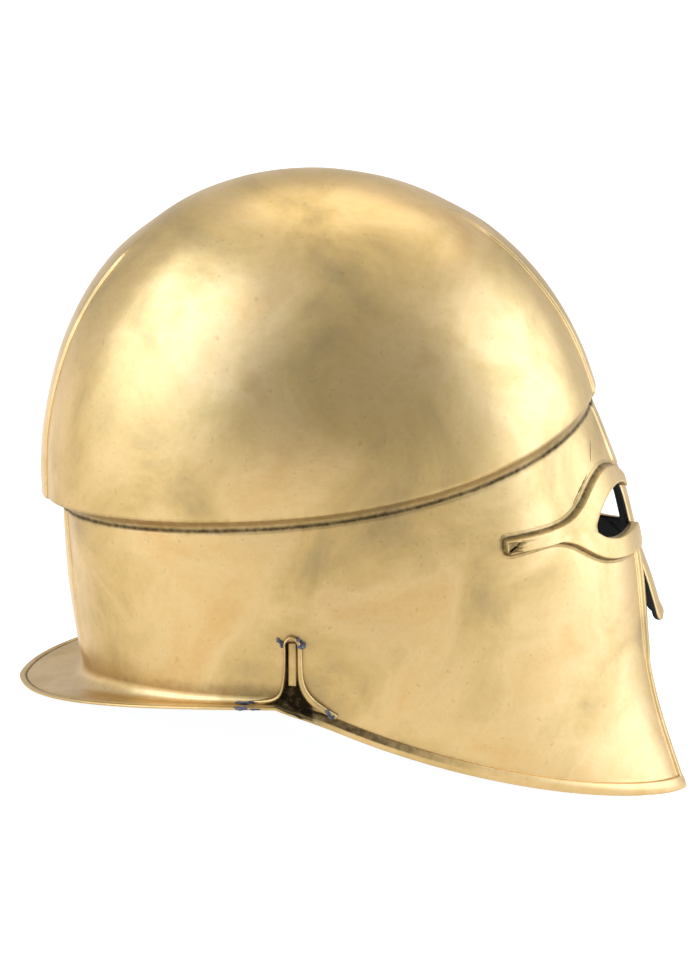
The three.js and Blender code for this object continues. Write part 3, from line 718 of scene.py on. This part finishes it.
def surround(deeper):
    """One surround as a grid, and how much painted shade darkens it: a section swept round the two
    outlines. The tail's end is a ragged pocket where the plate was left hollow, torn along one
    diagonal; pocket and tear are darkened too."""
    outer_line, outer_side = plane_curve(SURROUND, "outer", stations)
    inner_line, _ = plane_curve(SURROUND, "inner", stations)
    lower = smoothstep(-inner_line[:, 1], 16.5, 21) * smoothstep(stations, 20, 24)
    inner_line[:, 1] -= deeper * lower * smoothstep(29 - inner_line[:, 0] / FACE_MM, 0, 4)
    apart = outer_line - inner_line
    facing = apart / np.maximum(np.linalg.norm(apart, axis=-1, keepdims=True), 1e-6)
    step_side = np.where(share[..., None] < 0.5, facing, outer_side)
    spot = inner_line + apart * share[..., None] + step_side * beyond[..., None]
    angle, z = spot[..., 0] / FACE_MM, spot[..., 1]
    ragged = 0.35 * np.sin(3.1 * z) + 0.25 * np.sin(7.3 * z + 1)
    pocket = (smoothstep(angle + ragged, 51.6, 52.3) * (1 - smoothstep(angle, 54.0, 54.4))
              * smoothstep(z, -19.9, -19.3) * (1 - smoothstep(z, -15.3, -14.6)))
    tear = 1 - smoothstep(np.abs(z + 17.2 + 1.6 * (angle - 52.4)), 0.2, 0.7)
    tear = tear * smoothstep(angle, 50.6, 51.4) * (1 - smoothstep(angle, 54.2, 54.6))
    cut = np.zeros_like(pocket)
    cut[TAIL_ROWS] = np.maximum(1.3 * pocket, 1.8 * tear)[TAIL_ROWS]
    made = on_wall(np.radians(angle), z, over - cut)
    dirt_and_shade = np.interp(np.arange(len(SECTION)), SECTION_SHADE["row"], SECTION_SHADE["dirt_and_shade"])
    dirt_and_shade = np.maximum(dirt_and_shade[:, None], 0.7 * pocket + 0.95 * tear)
    ends = made.mean(0, keepdims=True) + 0 * made
    return (np.concatenate([ends[:, :1], made, ends[:, -1:]], 1),
            np.concatenate([dirt_and_shade[:, :1], dirt_and_shade, dirt_and_shade[:, -1:]], 1))


for name, mirror, deeper in (("left", 1, LEFT_EYE_LOWER), ("right", -1, 0.0)):
    grid, dirt_and_shade = surround(deeper)
    add_piece(f"eye_surround_{name}", grid * (1, mirror, 1), [brass, black], wrap_rows=True,
              paint=np.arange(len(SECTION)) >= UNDERSIDE, grime=dirt_and_shade)

# ---- notches -------------------------------------------------------------------------------
# Between cheek piece and neck guard each side has a notch: two lips of brass wire, brazed on,
# that meet in a small arch and flare onto the rims, with a bright strip of plate between them.
NOTCH_MM = 2.48            # along the wall beside the notch, to one degree of plan
LIPS = {  # middle line, half width and height of the bead
    "station": list(range(15)),
    "angle": [106, 102.5, 99.8, 98.1, 97.4, 97.2, 97.2, 97.1, 95.9, 94.7, 94.3, 94.2, 93.7, 91.6,
              87.2],
    "z": [-89.2, -88.4, -87, -83.5, -76, -68, -61.5, -58.4, -56.4, -58.4, -62, -72, -80.5, -88.3,
          -96],
    "half_width": [0.8, 0.95, 1.0, 0.7, 0.55, 0.5, 0.5, 0.6, 0.7, 0.8, 1.1, 1.3, 1.5, 1.7, 1.2],
    "height": [1.0, 2.6, 4.0, 4.4, 4.4, 4.4, 4.2, 3.8, 3.2, 3.6, 4.0, 4.2, 4.2, 3.6, 1.8],
}


def bead(table, scale, count, section, above=0.0):
    """A bead laid on the wall, or above it, along a table's line: each point of the section is
    half widths sideways and a share of the height up. Both ends close to a point."""
    s = np.linspace(table["station"][0], table["station"][-1], count)
    line = np.stack([curve(table, "station", "angle")(s) * scale,
                     curve(table, "station", "z")(s)], -1)
    along = np.gradient(line, axis=0)
    along /= np.linalg.norm(along, axis=-1, keepdims=True)
    sideways = np.stack([-along[:, 1], along[:, 0]], -1)
    half = curve(table, "station", "half_width")(s)
    height = curve(table, "station", "height")(s)
    aside, up = np.array(section).T[:, :, None]
    spot = line + sideways * (aside * half)[..., None]
    lifted = np.where(up < 0, up, up * height)
    made = on_wall(np.radians(spot[..., 0] / scale), spot[..., 1], lifted + above)
    tips = made.mean(0, keepdims=True) + 0 * made
    return np.concatenate([tips[:, :1], made, tips[:, -1:]], 1)


def mirrored_pair(name, grid, *args, **kinds):
    """A piece on the wearer's left, and its mirror image on the right."""
    return [add_piece(name + "_left", grid, *args, **kinds),
            add_piece(name + "_right", grid * (1, -1, 1), *args, **kinds)]


round_top = np.linspace(0, np.pi, 13)
BEAD_SECTION = [(1.1, -0.5), (1.05, 0.0), (1.0, 0.35),
                *zip(np.cos(round_top), 0.7 + 0.3 * np.sin(round_top)),
                (-1.0, 0.35), (-1.05, 0.0), (-1.1, -0.5)]
# Painted shade along both sides of a bead's foot, where it meets the wall.
bead_foot_shade = np.interp(np.arange(len(BEAD_SECTION)), [0, 3, 6, 12, 15, 18],
                      [0.9, 0.4, 0, 0, 0.4, 0.9])[:, None]
mirrored_pair("notch_lips", bead(LIPS, NOTCH_MM, 150, BEAD_SECTION), [brass], wrap_rows=True,
              grime=bead_foot_shade)

SLOT_FLOOR = {  # the bright strip of plate left between the lips
    "station": [0, 1, 2, 3],
    "angle": [95.75, 95.7, 95.7, 95.75],
    "z": [-59.2, -66, -73, -80.3],
    "half_width": [1.9, 2.1, 2.1, 1.9],
    "height": [0.9, 1.2, 1.2, 0.8],
}
mirrored_pair("notch_floor", bead(SLOT_FLOOR, NOTCH_MM, 40, BEAD_SECTION), [brass],
              wrap_rows=True, grime=bead_foot_shade)

# Where the lips were brazed, burnt flux and filler is left in small dark lumps.
residue = new_material("brazing_residue")
tree = residue.node_tree
place = add_node(tree, "ShaderNodeTexCoord")
crust = add_node(tree, "ShaderNodeTexNoise", values={"Scale": per_metre(2), "Detail": 4.0},
                 links={"Vector": (place, "Object")})
burnt = ramp(tree, crust, [(0.35, "#23222a"), (0.55, "#4a4a55"), (0.7, "#6f6a62")])
rough_skin = add_node(tree, "ShaderNodeBump", values={"Strength": 0.6, "Distance": 0.0005},
                      links={"Height": (crust, 0)})
slag = add_node(tree, "ShaderNodeBsdfPrincipled", values={"Roughness": 0.5},
                links={"Base Color": (burnt, 0), "Normal": (rough_skin, 0)})
add_node(tree, "ShaderNodeOutputMaterial", links={"Surface": (slag, 0)})

RESIDUE = {  # where each lump starts, its length along and up, its size and how far out it is
    "angle": [98.9, 97.9, 95.2, 94.0, 107.4, 107.2, 104.0, 89.9, 88.9],
    "z": [-57.4, -58.2, -57.2, -58.2, -88.4, -89.6, -89.8, -91.0, -94.6],
    "along": [-1.0, -0.2, -1.1, -0.1, -4.2, -3.0, -2.4, -1.6, -1.4],
    "rise": [-1.8, -3.4, -1.4, -4.6, 0.3, -0.2, 0.0, -3.4, -1.6],
    "half_width": [1.0, 1.1, 1.3, 2.1, 1.0, 1.3, 0.6, 1.1, 1.3],
    "height": [2.2, 2.6, 4.0, 4.3, 0.8, 0.8, 0.5, 2.2, 1.8],
    "above": [0, 0, 0, 0, 4, 9.6, 9.8, 1.2, 1.0],
}
lumps = np.random.default_rng(11)
for lump, (angle, z, along, rise, half_width, height, above) in enumerate(zip(*RESIDUE.values())):
    steps = np.arange(7)
    swell = np.sin(np.pi * (steps + 0.6) / 7.2) * lumps.uniform(0.65, 1.1, 7)
    line = {"station": steps, "angle": angle + along * steps / 6,
            "z": z + rise * steps / 6 + lumps.uniform(-0.3, 0.3, 7),
            "half_width": half_width * swell, "height": height * swell + 0.2}
    grid = bead(line, NOTCH_MM, 30, BEAD_SECTION, above)
    for blob in mirrored_pair(f"brazing_residue_{lump}", grid, [residue], wrap_rows=True):
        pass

SCRATCHES = [  # two scratches by the right eye, as angles and heights
    {"station": [0, 1, 2], "angle": [28.2, 32.4, 35.9], "z": [11.6, 5.4, -1]},
    {"station": [0, 1, 2], "angle": [21.5, 23.6, 25.3], "z": [26.4, 21.5, 16.6]},
]
for number, scratch in enumerate(SCRATCHES):
    scratch.update(half_width=[0.12, 0.26, 0.12], height=[0.04, 0.1, 0.04])
    line = bead(scratch, FACE_MM, 24, BEAD_SECTION) * (1, -1, 1)
    add_piece(f"scratch_{number}", line, [brass], wrap_rows=True, grime=0.8)

# ---- nose guard ----------------------------------------------------------------------------
# The nose guard is a tongue of thick brass that grows out of the brow and stands clear of the
# cheek pieces. It is crowned, with a fine raised edge, and its back is painted black.
NOSE_GUARD = {
    "z": [18, 12, 4, -15, -32, -48, -71.5],
    "x": [139.2, 142.2, 146, 151.9, 156.4, 162.3, 169.4],
    "half_width": [17, 15, 12.8, 11.5, 11.7, 12.2, 12.2],
}
NOSE_THICKNESS = 3.3
NOSE_TIP_ROUNDING = 3.2
NOSE_CROWN = 38.0          # its middle stands proud of its edges by half width squared over this
NOSE_EDGE = 0.9            # radius of its edges
NOSE_LIP = 0.22            # height of the fine raised edge
NOSE_SETBACK = 0.3         # of its face from the line in the table
NOSE_TIP_SLOPE = 3.2       # how much higher the tip ends in the middle of its face
FRONT_ROWS, SIDE_ROWS = 41, 7

nose_x = curve(NOSE_GUARD, "z", "x")
nose_half = curve(NOSE_GUARD, "z", "half_width")
top_z, tip_z = NOSE_GUARD["z"][0], NOSE_GUARD["z"][-1]
fall = np.sin(np.linspace(0, np.pi / 2, 70)) ** 0.85
nose_z = top_z + (tip_z - top_z) * fall
into = np.clip((tip_z + NOSE_TIP_ROUNDING - nose_z) / NOSE_TIP_ROUNDING, 0, 1)
half = nose_half(nose_z) - NOSE_TIP_ROUNDING * (1 - np.sqrt(np.maximum(1 - into ** 2, 0)))
across = np.linspace(-1, 1, FRONT_ROWS)
edge_y = half - NOSE_EDGE
front_y = across[:, None] * edge_y
raised = NOSE_LIP * smoothstep(np.abs(across), 0.80, 0.88)[:, None]
front_x = nose_x(nose_z) - front_y ** 2 / NOSE_CROWN - NOSE_SETBACK + raised
corner = np.linspace(0, np.pi, SIDE_ROWS + 2)[1:-1, None]
edge_x = nose_x(nose_z) - edge_y ** 2 / NOSE_CROWN - NOSE_SETBACK + NOSE_LIP
side_x = edge_x - NOSE_THICKNESS / 2 * (1 - np.cos(corner))
side_y = edge_y + NOSE_EDGE * np.sin(corner)
back_x = nose_x(nose_z) - front_y ** 2 / NOSE_CROWN - 0.1 - NOSE_THICKNESS
nose_points_x = np.concatenate([front_x, side_x, back_x, side_x[::-1]])
nose_points_y = np.concatenate([front_y, side_y, -front_y, -side_y[::-1]])
nose = np.stack([nose_points_x, nose_points_y, nose_z + 0 * nose_points_x], -1)
middle_share = 1 - np.clip(np.abs(nose[..., 1]) / np.maximum(half, 1e-6), 0, 1) ** 2
nose[..., 2] += NOSE_TIP_SLOPE * middle_share * smoothstep(-nose_z, 62, -tip_z)
caps = nose.mean(0, keepdims=True) + 0 * nose
nose = np.concatenate([caps[:, :1], nose, caps[:, -1:]], 1)
row = np.arange(len(nose))
painted = (row >= FRONT_ROWS + 2) & (row <= len(nose) - 4)
add_piece("nose_guard", nose, [brass, black], wrap_rows=True, paint=painted)

# ---- floor, lights and camera --------------------------------------------------------------
# A white seamless floor that glows as lit paper does, a large soft light on each side, a weak one
# above, and a pale room that is darker behind the camera.
FLOOR = 30.0               # metres from its middle to its sides
floor_mesh = bpy.data.meshes.new("floor")
floor_mesh.from_pydata([(-FLOOR, -FLOOR, 0), (FLOOR, -FLOOR, 0), (FLOOR, FLOOR, 0),
                        (-FLOOR, FLOOR, 0)], [], [(0, 1, 2, 3)])
floor = bpy.data.objects.new("floor", floor_mesh)
bpy.context.scene.collection.objects.link(floor)
white = new_material("white_paper")
paper = add_node(white.node_tree, "ShaderNodeBsdfPrincipled", values={
    "Base Color": (0.3, 0.3, 0.3, 1), "Roughness": 0.8, "Specular IOR Level": 0.1,
    "Emission Color": (1, 1, 1, 1), "Emission Strength": 0.97})
add_node(white.node_tree, "ShaderNodeOutputMaterial", links={"Surface": (paper, 0)})
floor_mesh.materials.append(white)

room = bpy.data.worlds.new("room")
bpy.context.scene.world = room
room.use_nodes = True
way = add_node(room.node_tree, "ShaderNodeTexCoord")
parts = add_node(room.node_tree, "ShaderNodeSeparateXYZ", links={0: (way, "Generated")})
dimmer = add_node(room.node_tree, "ShaderNodeMapRange", {"interpolation_type": "SMOOTHSTEP"}, {
    "From Min": -0.95, "From Max": -0.35, "To Min": 0.34, "To Max": 0.95,
}, {"Value": (parts, 1)})
sky = room.node_tree.nodes["Background"]
sky.inputs["Color"].default_value = colour("#eef1f8")
room.node_tree.links.new(dimmer.outputs[0], sky.inputs["Strength"])


def place_thing(thing, at, right, back):
    """Puts a light or camera in the scene by its position, right side and back, in metres."""
    axes = np.eye(4)
    axes[:3, :3] = np.stack([right, np.cross(back, right), back], 1)
    axes[:3, 3] = at
    thing.matrix_world = Matrix(axes.tolist())
    bpy.context.scene.collection.objects.link(thing)


def soft_light(name, at, towards, size, power, tint="#ffffff"):
    """A rectangular light at a place, in metres, that faces a point."""
    lamp = bpy.data.lights.new(name, "AREA")
    lamp.shape = "RECTANGLE"
    lamp.size, lamp.size_y = size
    lamp.energy = power
    lamp.color = colour(tint)[:3]
    light = bpy.data.objects.new(name, lamp)
    back = np.array(at) - towards
    back /= np.linalg.norm(back)
    right = np.cross((0, 0, 1), back)
    place_thing(light, at, right / np.linalg.norm(right), back)


MIDDLE = (0.0, 0.0, 0.14)
DAYLIGHT = "#c6d8ff"
soft_light("left_softbox", (-1.6, -0.8, 0.95), MIDDLE, (2.1, 1.9), 48.0, DAYLIGHT)
soft_light("right_softbox", (1.65, -0.25, 0.9), MIDDLE, (2.1, 1.9), 43.0, DAYLIGHT)
soft_light("top_softbox", (0.0, 0.3, 1.7), MIDDLE, (1.4, 1.0), 6.0)

# The camera looks from the wearer's right, a little from behind and above. It is set in the worn
# pose and pitched with the helmet.
VIEW_TURN, VIEW_RISE = np.radians(-2.5), np.radians(11.3)
VIEW_DISTANCE = 1600.0
FOCAL_LENGTH = 117.55
FRAME_SHIFT = (0.0204082, -0.0102041)     # shares of the frame's long side
back = np.array([np.sin(VIEW_TURN) * np.cos(VIEW_RISE), -np.cos(VIEW_TURN) * np.cos(VIEW_RISE),
                 np.sin(VIEW_RISE)])
right = np.array([np.cos(VIEW_TURN), np.sin(VIEW_TURN), 0.0])
origin = to_rest(np.zeros(3))
right_at_rest, back_at_rest = ((to_rest(way) - origin) * 1000 for way in (right, back))
lens = bpy.data.cameras.new("camera")
lens.lens = FOCAL_LENGTH
lens.shift_x, lens.shift_y = FRAME_SHIFT
camera = bpy.data.objects.new("camera", lens)
place_thing(camera, to_rest(back * VIEW_DISTANCE), right_at_rest, back_at_rest)
bpy.context.scene.camera = camera
